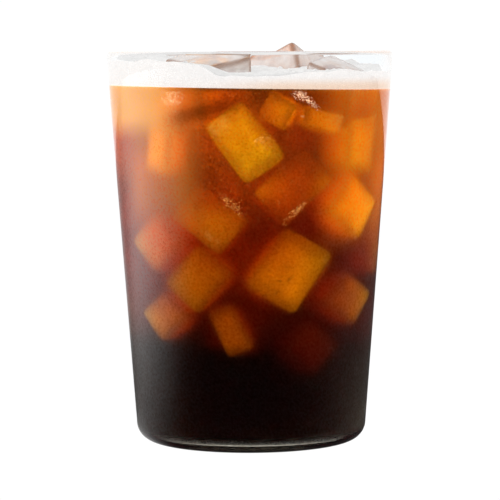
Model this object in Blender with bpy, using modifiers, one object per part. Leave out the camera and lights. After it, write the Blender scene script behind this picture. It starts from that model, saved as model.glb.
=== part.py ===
"""Iced americano in its straight tumbler: glass, coffee, foam and the ice that breaks the surface.

Metres, +Z up. The origin is the middle of the flat foot, so the drink stands on z = 0. The viewer
looks along +Y, with +X to the right.
"""
import math

import bmesh
import bpy
from mathutils import Euler, Matrix, Vector, noise

# Driving sizes
GLASS_HEIGHT = 0.1200
RIM_RADIUS = 0.0440
SIDE_LEAN = 0.0731            # how far the side moves out for each metre of height
FOOT_RADIUS = 0.0298          # outer edge of the flat foot
CORNER_RADIUS = 0.0057        # between the foot and the side
RIM_WALL = 0.0023
LOW_WALL = 0.0025
BASE_THICKNESS = 0.0029
PUNT_RADIUS = 0.0235          # the shallow hollow under the base
PUNT_DEPTH = 0.0005
INNER_CORNER = 0.0032
DRINK_LEVEL = 0.1093
LEVEL_TILT = 0.018            # the drink's edge stands a little higher at the left
GAP = 0.0003                  # between pieces that touch
ICE_EDGE = 0.0195
ICE_CREST = 0.0008            # how far a cube's faces swell or sink as it melts

TURN_STEPS = 64
FOAM_RINGS = 15
ICE_SEED = 5

# Height of the foam against the glass: azimuth in degrees from +X, anticlockwise from above, and metres
FOAM_EDGE = (
    (0, 0.1141), (45, 0.1138), (90, 0.1137), (130, 0.1146), (165, 0.1171), (200, 0.1174),
    (236, 0.1173), (247, 0.1166), (259, 0.1129), (272, 0.1127), (290, 0.1134), (310, 0.1144), (330, 0.1138),
)
FOAM_DISH = 0.0009            # how much lower the foam lies away from the glass
FOAM_LUMP = 0.0007
FOAM_LUMP_SIZE = 0.0065

# Ice that breaks the surface: centre in metres, turn in degrees, edge as a share of ICE_EDGE
ICE = (
    ((-0.0122, -0.0175, 0.1079), (8, -9, 38), 0.98),
    ((0.0122, 0.0048, 0.1070), (0, 0, 0), 1.03),
    ((0.0255, -0.0162, 0.1070), (4, 18, -30), 0.80),
    ((-0.0125, 0.0205, 0.1064), (-16, 12, 18), 1.00),
)
# The cube in the middle stands on a corner: its three edges that fall away from the top corner
CORNER_CUBE = 1
CORNER_EDGES = (Vector((0.20, -0.566, -0.80)), Vector((-0.81, 0.367, -0.46)))


def clear_scene():
    """Removes what the new file holds."""
    for old in list(bpy.data.objects):
        bpy.data.objects.remove(old, do_unlink=True)


def collection(name):
    """A new collection in the scene."""
    made = bpy.data.collections.new(name)
    bpy.context.scene.collection.children.link(made)
    return made


def finish(name, colour, roughness, transmission=0.0, ior=1.45):
    """A Principled material of one colour."""
    made = bpy.data.materials.new(name)
    made.use_nodes = True
    shader = made.node_tree.nodes["Principled BSDF"]
    shader.inputs["Base Color"].default_value = (*colour, 1.0)
    shader.inputs["Roughness"].default_value = roughness
    shader.inputs["Metallic"].default_value = 0.0
    shader.inputs["Transmission Weight"].default_value = transmission
    shader.inputs["IOR"].default_value = ior
    return made


def outer_radius(height):
    """Radius of the glass's outer side."""
    return RIM_RADIUS - SIDE_LEAN * (GLASS_HEIGHT - height)


def inner_radius(height):
    """Radius of the glass's inner side."""
    share = height / GLASS_HEIGHT
    return outer_radius(height) - (LOW_WALL + (RIM_WALL - LOW_WALL) * share)


def arc(centre, radius, start, end, steps):
    """Points on an arc in the profile's plane, angles in degrees from +X."""
    angles = [math.radians(start + (end - start) * i / steps) for i in range(steps + 1)]
    return [(centre[0] + radius * math.cos(a), centre[1] + radius * math.sin(a)) for a in angles]


def floor_corner(floor, inset, steps):
    """The rounded corner between an inner side and the floor, from the side down to the floor."""
    radius = INNER_CORNER - inset
    lean = math.degrees(math.atan(SIDE_LEAN))
    height = floor + radius
    centre = (inner_radius(height) - inset - radius, height)
    return arc(centre, radius, -lean, -90, steps)


def glass_profile():
    """The glass's section, from the middle of its floor over the rim to the middle of its underside."""
    lean = math.degrees(math.atan(SIDE_LEAN))
    rim = RIM_WALL / 2
    rim_centre = (RIM_RADIUS - rim, GLASS_HEIGHT - rim)
    inside = [(0.0, BASE_THICKNESS)] + floor_corner(BASE_THICKNESS, 0.0, 4)[::-1]
    over = arc(rim_centre, rim, 180 - lean, -lean, 6)
    corner_centre = (FOOT_RADIUS, CORNER_RADIUS)
    outside = arc(corner_centre, CORNER_RADIUS, -lean, -90, 6)
    punt = [(PUNT_RADIUS, 0.0), (PUNT_RADIUS - 2 * PUNT_DEPTH, PUNT_DEPTH), (0.0, PUNT_DEPTH)]
    return inside + over + outside + punt


def drink_profile(top):
    """The drink's section from the middle of its surface to the middle of its underside."""
    floor = BASE_THICKNESS + GAP
    side = [(inner_radius(top) - GAP, top)]
    return [(0.0, top)] + side + floor_corner(floor, GAP, 4) + [(0.0, floor)]


def foam_profile():
    """The foam's section: rings across the top, then the side and the underside."""
    top, base = DRINK_LEVEL + 4 * GAP, DRINK_LEVEL + GAP
    rim = inner_radius(top) - GAP
    rings = [(rim * i / FOAM_RINGS, top) for i in range(FOAM_RINGS + 1)]
    return rings + [(inner_radius(base) - GAP, base), (0.0, base)]


def turned(name, profile):
    """A mesh object turned about Z from a profile that runs down its outer side."""
    mesh = bpy.data.meshes.new(name + "_section")
    mesh.from_pydata([(x, 0.0, z) for x, z in profile], [(i, i + 1) for i in range(len(profile) - 1)], [])
    section = bpy.data.objects.new(name + "_section", mesh)
    bpy.context.scene.collection.objects.link(section)
    screw = section.modifiers.new("turn", "SCREW")
    screw.steps = TURN_STEPS
    screw.render_steps = TURN_STEPS
    screw.use_merge_vertices = True
    screw.merge_threshold = 0.00001
    solid = bpy.data.meshes.new_from_object(section.evaluated_get(bpy.context.evaluated_depsgraph_get()))
    solid.name = name
    bpy.data.objects.remove(section, do_unlink=True)
    return bpy.data.objects.new(name, solid)


def level_at(x):
    """Height of the drink's surface."""
    return DRINK_LEVEL - LEVEL_TILT * x


def foam_edge(azimuth):
    """Height of the foam against the glass at an azimuth in degrees, eased between the listed ones."""
    azimuth %= 360
    points = list(FOAM_EDGE) + [(FOAM_EDGE[0][0] + 360, FOAM_EDGE[0][1])]
    for (start, low), (end, high) in zip(points, points[1:]):
        if start <= azimuth <= end:
            share = (azimuth - start) / (end - start)
            eased = share * share * (3 - 2 * share)
            return low + (high - low) * eased
    return points[0][1]


def foam_top(x, y):
    """Height of the foam's lumpy top."""
    rim = inner_radius(DRINK_LEVEL)
    share = min(1.0, math.hypot(x, y) / rim)
    edge = foam_edge(math.degrees(math.atan2(y, x)))
    middle = sum(height for _, height in FOAM_EDGE) / len(FOAM_EDGE)
    cling = share ** 3
    height = middle + (edge - middle) * share ** 2 - FOAM_DISH * (1 - cling)
    lump = noise.noise(Vector((x, y, 0.0)) / FOAM_LUMP_SIZE)
    return height + FOAM_LUMP * lump


def shape_drink(drink):
    """Tilts the drink's surface."""
    for vertex in drink.data.vertices:
        if vertex.co.z > DRINK_LEVEL - GAP:
            x, y = vertex.co.x, vertex.co.y
            vertex.co.z = level_at(x)
            if math.hypot(x, y) > GAP:
                grow = (inner_radius(vertex.co.z) - GAP) / inner_radius(DRINK_LEVEL)
                reach = inner_radius(DRINK_LEVEL) / math.hypot(x, y)
                vertex.co.x, vertex.co.y = x * grow * reach, y * grow * reach


def shape_foam(foam):
    """Lifts the foam's top to its lumps and lays its underside on the drink."""
    base = DRINK_LEVEL + GAP
    rim = inner_radius(DRINK_LEVEL + 4 * GAP) - GAP
    for vertex in foam.data.vertices:
        x, y, z = vertex.co
        if z > base + GAP:
            height = foam_top(x, y)
        else:
            height = level_at(x) + GAP
        reach = math.hypot(x, y)
        if reach > rim - 2 * GAP:
            scale = (inner_radius(height) - GAP) / reach
            x, y = x * scale, y * scale
        vertex.co = (x, y, height)


def ice_turn(index):
    """Rotation of a cube."""
    if index == CORNER_CUBE:
        first = -CORNER_EDGES[0].normalized()
        second = (-CORNER_EDGES[1]).normalized()
        third = first.cross(second).normalized()
        second = third.cross(first)
        return Matrix((first, second, third)).transposed().to_4x4()
    return Euler([math.radians(a) for a in ICE[index][1]]).to_matrix().to_4x4()


def melted(point, seed):
    """Moves a point of a cube two units wide as melting does: edges rounded off, faces a little uneven."""
    crowded = Vector([math.copysign(abs(c) ** 0.45, c) if abs(c) > 1e-6 else 0.0 for c in point])
    drift = noise.noise_vector(crowded * 0.8 + Vector((seed, 2 * seed, -seed)))
    return crowded * (ICE_EDGE / 2) + drift * ICE_CREST


def ice_cube(name, index, growth):
    """One melted cube at its place, its faces moved out by growth."""
    centre, _, share = ICE[index]
    made = bmesh.new()
    bmesh.ops.create_cube(made, size=2.0)
    bmesh.ops.subdivide_edges(made, edges=made.edges[:], cuts=3, use_grid_fill=True)
    for vertex in made.verts:
        vertex.co = melted(vertex.co, ICE_SEED + index)
    mesh = bpy.data.meshes.new(name)
    made.to_mesh(mesh)
    made.free()
    scale = share * (1 + 2 * growth / ICE_EDGE)
    mesh.transform(Matrix.Translation(centre) @ ice_turn(index) @ Matrix.Scale(scale, 4))
    cube = bpy.data.objects.new(name, mesh)
    smooth = cube.modifiers.new("round", "SUBSURF")
    smooth.levels = 1
    smooth.render_levels = 1
    return cube


def cut_round(body, cutters):
    """Cuts every cutter out of a body."""
    cut = body.modifiers.new("ice_room", "BOOLEAN")
    cut.operation = "DIFFERENCE"
    cut.operand_type = "COLLECTION"
    cut.collection = cutters
    cut.solver = "EXACT"


def smooth_shade(piece, angle):
    """Smooth shading up to an angle in degrees."""
    piece.data.shade_smooth()
    piece.data.set_sharp_from_angle(angle=math.radians(angle))


def main():
    """Builds the drink."""
    clear_scene()
    noise.seed_set(ICE_SEED)
    drink_parts = collection("iced_americano")
    cutters = collection("cutters")

    clear = finish("clear_glass", (0.96, 0.98, 0.98), 0.02, 1.0, 1.5)
    coffee_look = finish("black_coffee", (0.055, 0.014, 0.004), 0.05)
    foam_look = finish("pale_foam", (0.86, 0.83, 0.80), 0.7)
    ice_look = finish("clear_ice", (0.90, 0.88, 0.85), 0.08, 1.0, 1.31)

    glass = turned("glass", glass_profile())
    glass.data.materials.append(clear)

    drink = turned("coffee", drink_profile(DRINK_LEVEL))
    shape_drink(drink)
    drink.data.materials.append(coffee_look)

    foam = turned("foam", foam_profile())
    shape_foam(foam)
    foam.data.materials.append(foam_look)

    for index in range(len(ICE)):
        cube = ice_cube(f"ice_cube_{index + 1}", index, 0.0)
        cube.data.materials.append(ice_look)
        drink_parts.objects.link(cube)
        room = ice_cube(f"ice_room_{index + 1}", index, GAP)
        room.hide_render = True
        room.display_type = "WIRE"
        cutters.objects.link(room)

    for piece in (glass, drink, foam):
        drink_parts.objects.link(piece)
        smooth_shade(piece, 35)
    cut_round(drink, cutters)
    cut_round(foam, cutters)


main()
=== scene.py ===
"""Iced americano in its straight tumbler, dressed for the studio: glass, coffee, froth and ice.

Metres, +Z up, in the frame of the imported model. The viewer looks along +Y, with +X to the right.
"""

import logging
import math
import random
from collections.abc import Iterable
from dataclasses import dataclass, field
from enum import Enum

import bpy
from mathutils import Euler, Matrix, Vector, noise


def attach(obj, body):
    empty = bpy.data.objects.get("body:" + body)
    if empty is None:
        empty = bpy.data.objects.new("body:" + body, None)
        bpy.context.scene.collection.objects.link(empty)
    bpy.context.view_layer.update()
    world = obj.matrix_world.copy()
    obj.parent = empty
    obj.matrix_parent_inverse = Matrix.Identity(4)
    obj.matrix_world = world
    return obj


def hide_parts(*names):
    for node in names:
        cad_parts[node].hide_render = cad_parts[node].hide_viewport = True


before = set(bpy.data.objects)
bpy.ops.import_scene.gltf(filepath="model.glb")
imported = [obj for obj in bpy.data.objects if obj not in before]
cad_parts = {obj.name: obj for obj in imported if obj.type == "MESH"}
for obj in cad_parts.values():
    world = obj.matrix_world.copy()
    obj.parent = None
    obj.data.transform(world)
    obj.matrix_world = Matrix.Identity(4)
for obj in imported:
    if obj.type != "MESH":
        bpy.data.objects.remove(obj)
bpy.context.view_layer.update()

LOG = logging.getLogger("iced_americano")
ROOT = "root"
MM = 0.001
SEED = 5

# How much the drink's radius grows per metre of height
SKIN_LEAN = 0.07477

Point = tuple[float, float]
Triple = tuple[float, float, float]
Piece = bpy.types.Object
Finish = bpy.types.Material
Socket = bpy.types.NodeSocket
Axes = dict[str, Socket]

# A cloud is its scale, its least value and its greatest
Cloud = tuple[float, float, float]


class Side(Enum):
    """How far the faces of a cube, or of the room for one, are moved out, in millimetres."""

    TIGHT = -0.04
    SAME = 0.0
    ROOMY = 0.25
    ROOMIER = 0.29


class Fineness(Enum):
    """How often a cube is subdivided, and how its rows of points crowd to the edges below 1."""

    SURFACE = (3, 0.45)
    SUNK = (2, 0.48)


# Hand tools


def deselect_everything() -> None:
    """Leaves edit mode and deselects every object."""
    if bpy.context.object and bpy.context.object.mode != "OBJECT":
        bpy.ops.object.mode_set(mode="OBJECT")
    bpy.ops.object.select_all(action="DESELECT")


def pick(piece: Piece) -> None:
    """Selects one object alone and makes it the active one."""
    deselect_everything()
    piece.select_set(True)
    bpy.context.view_layer.objects.active = piece


def smooth(piece: Piece, angle: float) -> None:
    """Shades a piece smooth, with edges sharper than the angle in degrees left crisp."""
    pick(piece)
    bpy.ops.object.shade_smooth_by_angle(angle=math.radians(angle))


def turned(name: str, section: list[Point], steps: int) -> Piece:
    """Turns a section about the upright axis, as on a lathe.

    Args:
        name: Name of the piece.
        section: Radius and height of each point, from one end on the axis to the other.
        steps: Number of faces round the axis.

    Returns:
        The closed piece, its faces outward.
    """
    deselect_everything()
    bpy.ops.mesh.primitive_plane_add(size=0.002, location=(0.0, 0.0, 0.0))
    piece = bpy.context.object
    piece.name = name
    piece.data.name = name
    bpy.ops.object.mode_set(mode="EDIT")
    bpy.ops.mesh.select_all(action="SELECT")
    bpy.ops.mesh.merge(type="CENTER")
    bpy.ops.transform.translate(value=(section[0][0], 0.0, section[0][1]))
    for (x0, z0), (x1, z1) in zip(section, section[1:]):
        bpy.ops.mesh.extrude_vertices_move(TRANSFORM_OT_translate={"value": (x1 - x0, 0.0, z1 - z0)})
    bpy.ops.mesh.select_all(action="SELECT")
    bpy.ops.mesh.spin(steps=steps, angle=2 * math.pi, center=(0.0, 0.0, 0.0), axis=(0.0, 0.0, 1.0))
    bpy.ops.mesh.select_all(action="SELECT")
    bpy.ops.mesh.remove_doubles(threshold=0.000002)
    bpy.ops.mesh.normals_make_consistent(inside=False)
    bpy.ops.object.mode_set(mode="OBJECT")
    return piece


def carve(body: Piece, cutters: list[Piece]) -> None:
    """Cuts the cutters out of a body and applies the cut.

    Args:
        body: The closed piece that is cut.
        cutters: Closed pieces that don't touch one another.
    """
    group = bpy.data.collections.new(body.name + "_cutters")
    for cutter in cutters:
        group.objects.link(cutter)
    cut = body.modifiers.new("carve", "BOOLEAN")
    cut.operation = "DIFFERENCE"
    cut.operand_type = "COLLECTION"
    cut.collection = group
    cut.solver = "MANIFOLD"
    pick(body)
    bpy.ops.object.modifier_apply(modifier=cut.name)
    bpy.data.collections.remove(group)


def discard(pieces: list[Piece]) -> None:
    """Removes working copies and their meshes."""
    for piece in pieces:
        mesh = piece.data
        bpy.data.objects.remove(piece, do_unlink=True)
        bpy.data.meshes.remove(mesh)


def copied(name: str, one: Piece, place: Matrix) -> Piece:
    """A copy of a piece with a mesh of its own, placed in its mesh."""
    copy = bpy.data.objects.new(name, one.data.copy())
    copy.data.transform(place)
    bpy.context.scene.collection.objects.link(copy)
    return copy


def joined(name: str, copies: list[Piece], angle: float) -> Piece:
    """Joins copies into one piece, smooth but for edges sharper than the angle in degrees."""
    deselect_everything()
    for copy in copies:
        copy.select_set(True)
    bpy.context.view_layer.objects.active = copies[0]
    bpy.ops.object.join()
    piece = bpy.context.object
    piece.name = name
    piece.data.name = name
    smooth(piece, angle)
    return piece


def eased(low: float, high: float, value: float) -> float:
    """A smooth rise from 0 at low to 1 at high."""
    share = min(1.0, max(0.0, (value - low) / (high - low)))
    return share * share * (3 - 2 * share)


# Forms


@dataclass(frozen=True)
class TumblerForm:
    """The sizes of the tumbler and of the drink in it, shared by every piece that follows its wall.

    The drink and the froth sink into the wall by the reach.
    """

    height: float = 0.1200
    rim_radius: float = 0.0440
    side_lean: float = 0.0731
    foot_radius: float = 0.0298
    corner_radius: float = 0.0057
    rim_wall: float = 0.0023
    low_wall: float = 0.0025
    base_thickness: float = 0.0029
    punt_radius: float = 0.0235
    punt_depth: float = 0.0005
    inner_corner: float = 0.0032
    drink_level: float = 0.1093
    level_tilt: float = 0.018
    reach: float = 0.0001
    corner_steps: int = 10
    side_parts: int = 16

    def outer_radius(self, height: float) -> float:
        """Radius of the outer side at a height."""
        return self.rim_radius - self.side_lean * (self.height - height)

    def inner_radius(self, height: float) -> float:
        """Radius of the inner side at a height."""
        share = height / self.height
        return self.outer_radius(height) - (self.low_wall + (self.rim_wall - self.low_wall) * share)

    def level_at(self, x: float) -> float:
        """Height of the coffee's surface, which stands a little higher at the left."""
        return self.drink_level - self.level_tilt * x

    @property
    def lean(self) -> float:
        """The side's lean in degrees."""
        return math.degrees(math.atan(self.side_lean))

    @staticmethod
    def arc(centre: Point, radius: float, start: float, end: float, steps: int) -> list[Point]:
        """Points on an arc in the section's plane.

        Args:
            centre: Radius and height of the arc's middle.
            radius: The arc's radius.
            start: First angle in degrees from outward.
            end: Last angle in degrees from outward.
            steps: Number of straight parts.

        Returns:
            The points in order.
        """
        angles = [math.radians(start + (end - start) * i / steps) for i in range(steps + 1)]
        return [(centre[0] + radius * math.cos(a), centre[1] + radius * math.sin(a)) for a in angles]

    def straight(self, start: Point, end: Point) -> list[Point]:
        """Points between two others, which keep a tall side in short faces."""
        shares = [i / self.side_parts for i in range(1, self.side_parts)]
        return [(start[0] + (end[0] - start[0]) * s, start[1] + (end[1] - start[1]) * s) for s in shares]

    def floor_corner(self, floor: float, inset: float) -> list[Point]:
        """The rounded corner between the inner side and the floor, from the side down."""
        radius = self.inner_corner - inset
        height = floor + radius
        centre = (self.inner_radius(height) - inset - radius, height)
        return self.arc(centre, radius, -self.lean, -90, self.corner_steps)


@dataclass(frozen=True)
class FrothForm:
    """The height rule of the froth's lumpy top."""

    edge: tuple[tuple[int, float], ...] = (
        (0, 0.1141), (45, 0.1138), (90, 0.1137), (130, 0.1146), (165, 0.1171), (200, 0.1174), (236, 0.1173),
        (247, 0.1166), (259, 0.1129), (272, 0.1127), (290, 0.1134), (310, 0.1144), (330, 0.1138),
    )
    dish: float = 0.0009
    lump: float = 0.0007
    lump_size: float = 0.0065
    grain: float = 0.00016
    grain_size: float = 0.0011

    def edge_height(self, azimuth: float) -> float:
        """Height against the glass at an azimuth in degrees, eased between the listed ones."""
        azimuth %= 360
        points = list(self.edge) + [(self.edge[0][0] + 360, self.edge[0][1])]
        for (start, low), (end, high) in zip(points, points[1:]):
            if start <= azimuth <= end:
                return low + (high - low) * eased(start, end, azimuth)
        return points[0][1]

    def top(self, x: float, y: float, form: TumblerForm) -> float:
        """Height of the froth's top at a place."""
        rim = form.inner_radius(form.drink_level)
        share = min(1.0, math.hypot(x, y) / rim)
        edge = self.edge_height(math.degrees(math.atan2(y, x)))
        middle = sum(height for _, height in self.edge) / len(self.edge)
        height = middle + (edge - middle) * share ** 2 - self.dish * (1 - share ** 3)
        height += self.lump * noise.noise(Vector((x, y, 0.0)) / self.lump_size)
        return height + self.grain * noise.noise(Vector((x, y, 0.5)) / self.grain_size)


# Effects that several finishes share


def new_group(name: str, inputs: list[tuple[str, float]], outputs: list[str]) -> bpy.types.NodeTree:
    """A shader node group with a Vector input, number inputs and number outputs.

    Args:
        name: Name of the group.
        inputs: Name and usual value of each number that goes in.
        outputs: Name of each number that comes out.

    Returns:
        The group, with its input and output nodes in it.
    """
    group = bpy.data.node_groups.new(name, "ShaderNodeTree")
    group.interface.new_socket("Vector", in_out="INPUT", socket_type="NodeSocketVector")
    for label, usual in inputs:
        made = group.interface.new_socket(label, in_out="INPUT", socket_type="NodeSocketFloat")
        made.default_value = usual
    for label in outputs:
        group.interface.new_socket(label, in_out="OUTPUT", socket_type="NodeSocketFloat")
    group.nodes.new("NodeGroupInput")
    group.nodes.new("NodeGroupOutput")
    return group


class SharedEffects:
    """The patterns that the finishes use, each built once."""

    detail: float = 3.0
    middle: Point = (0.32, 0.68)

    def __init__(self) -> None:
        """Builds the groups."""
        self.cloud = self._cloud()
        self.band = self._band()
        self.cells = self._cells()

    def _cloud(self) -> bpy.types.NodeTree:
        """Soft noise between two values."""
        group = new_group("soft_cloud", [("Scale", 100.0), ("Low", 0.0), ("High", 1.0)], ["Value"])
        nodes, links = group.nodes, group.links
        entry, leave = nodes["Group Input"], nodes["Group Output"]
        grain = nodes.new("ShaderNodeTexNoise")
        grain.inputs["Detail"].default_value = self.detail
        spread = nodes.new("ShaderNodeMapRange")
        spread.inputs["From Min"].default_value, spread.inputs["From Max"].default_value = self.middle
        links.new(entry.outputs["Vector"], grain.inputs["Vector"])
        links.new(entry.outputs["Scale"], grain.inputs["Scale"])
        links.new(grain.outputs["Fac"], spread.inputs["Value"])
        links.new(entry.outputs["Low"], spread.inputs["To Min"])
        links.new(entry.outputs["High"], spread.inputs["To Max"])
        links.new(spread.outputs["Result"], leave.inputs["Value"])
        return group

    @staticmethod
    def _band() -> bpy.types.NodeTree:
        """A mask that rises with height, from 0 at Start to 1 at End."""
        group = new_group("height_band", [("Start", 0.0), ("End", 1.0)], ["Mask"])
        nodes, links = group.nodes, group.links
        entry, leave = nodes["Group Input"], nodes["Group Output"]
        split = nodes.new("ShaderNodeSeparateXYZ")
        spread = nodes.new("ShaderNodeMapRange")
        spread.interpolation_type = "SMOOTHSTEP"
        links.new(entry.outputs["Vector"], split.inputs["Vector"])
        links.new(split.outputs["Z"], spread.inputs["Value"])
        links.new(entry.outputs["Start"], spread.inputs["From Min"])
        links.new(entry.outputs["End"], spread.inputs["From Max"])
        links.new(spread.outputs["Result"], leave.inputs["Mask"])
        return group

    @staticmethod
    def _cells() -> bpy.types.NodeTree:
        """Small round cells, 1 in the middle of each and 0 between them."""
        group = new_group("round_cells", [("Scale", 900.0), ("Width", 0.5)], ["Mask"])
        nodes, links = group.nodes, group.links
        entry, leave = nodes["Group Input"], nodes["Group Output"]
        cells = nodes.new("ShaderNodeTexVoronoi")
        spread = nodes.new("ShaderNodeMapRange")
        spread.interpolation_type = "SMOOTHSTEP"
        spread.inputs["To Min"].default_value = 1.0
        spread.inputs["To Max"].default_value = 0.0
        links.new(entry.outputs["Vector"], cells.inputs["Vector"])
        links.new(entry.outputs["Scale"], cells.inputs["Scale"])
        links.new(cells.outputs["Distance"], spread.inputs["Value"])
        links.new(entry.outputs["Width"], spread.inputs["From Max"])
        links.new(spread.outputs["Result"], leave.inputs["Mask"])
        return group


class Board:
    """A material on the bench: its nodes, its shader and short ways to wire them."""

    def __init__(self, name: str, effects: SharedEffects | None = None) -> None:
        """Starts a material with a Principled shader and Object coordinates."""
        self.material = bpy.data.materials.new(name)
        self.material.use_nodes = True
        self.effects = effects
        self.nodes = self.material.node_tree.nodes
        self.links = self.material.node_tree.links
        self.shader = self.nodes["Principled BSDF"]
        self.output = self.nodes["Material Output"]
        self.place = self.nodes.new("ShaderNodeTexCoord").outputs["Object"]

    def set(self, **values: object) -> None:
        """Sets the shader's own sockets; underscores stand for spaces."""
        for label, value in values.items():
            self.shader.inputs[label.replace("_", " ")].default_value = value

    def put(self, value: object, socket: Socket) -> None:
        """Wires a socket to another, or sets a number or colour on it."""
        if isinstance(value, Socket):
            self.links.new(value, socket)
        else:
            socket.default_value = value

    def axes(self) -> Axes:
        """The X, Y and Z of the Object coordinates."""
        split = self.nodes.new("ShaderNodeSeparateXYZ")
        self.links.new(self.place, split.inputs["Vector"])
        return {axis: split.outputs[axis] for axis in "XYZ"}

    def effect(self, group: bpy.types.NodeTree, out: str, **values: float) -> Socket:
        """Places a shared effect on the Object coordinates and returns its output."""
        node = self.nodes.new("ShaderNodeGroup")
        node.node_tree = group
        self.links.new(self.place, node.inputs["Vector"])
        for label, value in values.items():
            node.inputs[label].default_value = value
        return node.outputs[out]

    def cloud(self, scale: float, low: float = 0.0, high: float = 1.0) -> Socket:
        """Soft noise between two values."""
        return self.effect(self.effects.cloud, "Value", Scale=scale, Low=low, High=high)

    def band(self, start: float, end: float) -> Socket:
        """A mask from 0 at one height to 1 at another."""
        return self.effect(self.effects.band, "Mask", Start=start, End=end)

    def maths(self, kind: str, first: object, second: object) -> Socket:
        """One sum on two numbers or sockets."""
        node = self.nodes.new("ShaderNodeMath")
        node.operation = kind
        self.put(first, node.inputs[0])
        self.put(second, node.inputs[1])
        return node.outputs["Value"]

    def product(self, first: object, *others: object) -> Socket:
        """The product of numbers or sockets, from the first to the last."""
        for other in others:
            first = self.maths("MULTIPLY", first, other)
        return first

    def blend(self, mask: Socket, low: object, high: object) -> Socket:
        """Blends two colours, or a colour and a socket, by a mask."""
        node = self.nodes.new("ShaderNodeMix")
        node.data_type = "RGBA"
        self.links.new(mask, node.inputs["Factor"])
        for label, value in (("A", low), ("B", high)):
            socket = next(s for s in node.inputs if s.name == label and s.type == "RGBA")
            self.put(value if isinstance(value, Socket) else (*value, 1.0), socket)
        return next(s for s in node.outputs if s.type == "RGBA")

    def scaled(self, colour: Socket, amount: Socket) -> Socket:
        """A colour made darker or brighter by a number."""
        node = self.nodes.new("ShaderNodeVectorMath")
        node.operation = "SCALE"
        self.links.new(colour, node.inputs[0])
        self.links.new(amount, node.inputs["Scale"])
        return node.outputs["Vector"]

    def ramp(self, value: Socket, span: Point, numbers: Point = (0.0, 1.0)) -> Socket:
        """A smooth change from one number to another.

        Args:
            value: The socket that drives the change.
            span: The driving values where the change starts and ends.
            numbers: The number before the change and the one after it.

        Returns:
            The socket with the number.
        """
        node = self.nodes.new("ShaderNodeMapRange")
        node.interpolation_type = "SMOOTHSTEP"
        self.links.new(value, node.inputs["Value"])
        for label, number in zip(("From Min", "From Max", "To Min", "To Max"), (*span, *numbers)):
            node.inputs[label].default_value = number
        return node.outputs["Result"]

    def outer_skin(self, axes: Axes, start: float) -> Socket:
        """1 where a piece lies against the glass, past the radius that starts its skin, and 0 elsewhere."""
        squares = [self.product(axes[axis], axes[axis]) for axis in "XY"]
        radius = self.maths("SQRT", self.maths("ADD", *squares), 0.0)
        upright = self.maths("SUBTRACT", radius, self.product(axes["Z"], SKIN_LEAN))
        return self.maths("GREATER_THAN", upright, start)

    def attribute(self, name: str, out: str = "Color") -> Socket:
        """The colour or number of an attribute that the piece carries."""
        node = self.nodes.new("ShaderNodeAttribute")
        node.attribute_name = name
        return node.outputs[out]

    def feed(self, label: str, socket: Socket) -> None:
        """Wires a socket to the shader."""
        self.links.new(socket, self.shader.inputs[label])

    def relief(self, height: Socket, depth: float, strength: float) -> None:
        """Adds a bump to the shader.

        Args:
            height: The pattern that stands proud.
            depth: How far it stands, in metres.
            strength: How strongly it shows, up to 1.
        """
        bump = self.nodes.new("ShaderNodeBump")
        bump.inputs["Distance"].default_value = depth
        bump.inputs["Strength"].default_value = strength
        self.links.new(height, bump.inputs["Height"])
        self.feed("Normal", bump.outputs["Normal"])


# Finishes


@dataclass(frozen=True)
class TumblerGlass:
    """Clear pressed glass with a faint waviness."""

    index: float = 1.5
    gleam: float = 0.05
    tint_scale: float = 30.0
    tints: tuple[Triple, Triple] = ((0.955, 0.978, 0.995), (0.975, 0.990, 1.0))
    wave_scale: float = 40.0
    wave: Point = (0.00001, 0.2)

    def build(self, effects: SharedEffects) -> Finish:
        """Makes the material."""
        board = Board("tumbler_glass", effects)
        board.set(Roughness=0.0, IOR=self.index, Transmission_Weight=1.0, Metallic=0.0,
                  Specular_Tint=(self.gleam, self.gleam, self.gleam, 1.0))
        board.feed("Base Color", board.blend(board.cloud(self.tint_scale), *self.tints))
        board.relief(board.cloud(self.wave_scale), *self.wave)
        return board.material


@dataclass(frozen=True)
class SkinGlow:
    """A patch of light on the drink's outer skin: its tone, and how it sets in and fades."""

    tone: Triple
    across: Point
    height: Point
    fade: Point = (-1.0, -2.0)

    def mask(self, board: Board, axes: Axes) -> Socket:
        """How strongly the patch shows; the usual fade lies outside the glass and does nothing."""
        return board.product(board.ramp(axes["X"], self.across), board.ramp(axes["Z"], self.height),
                             board.ramp(axes["X"], self.fade, (1.0, 0.0)))


@dataclass(frozen=True)
class PaintedShadeStreak:
    """Painted shade: a slanting dark streak at the upper left of the front, standing in for the shaded gap
    between two cubes.
    """

    # Colour and strength of the painted shade
    tone: Triple = (0.20, 0.12, 0.08)
    strength: float = 0.62
    slope: float = 0.242
    lower: Point = (0.1018, 0.1056)
    upper: Point = (0.1060, 0.1098)
    left: Point = (-0.0275, -0.0175)
    right: Point = (-0.0090, 0.0020)
    front: Point = (-0.0200, -0.0260)

    def mask(self, board: Board, axes: Axes) -> Socket:
        """How strongly the streak shows."""
        rise = board.maths("SUBTRACT", axes["Z"], board.product(axes["X"], self.slope))
        return board.product(
            board.ramp(rise, self.lower, (0.0, self.strength)),
            board.ramp(rise, self.upper, (1.0, 0.0)),
            board.ramp(axes["X"], self.left),
            board.ramp(axes["X"], self.right, (1.0, 0.0)),
            board.ramp(axes["Y"], self.front),
        )


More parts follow.
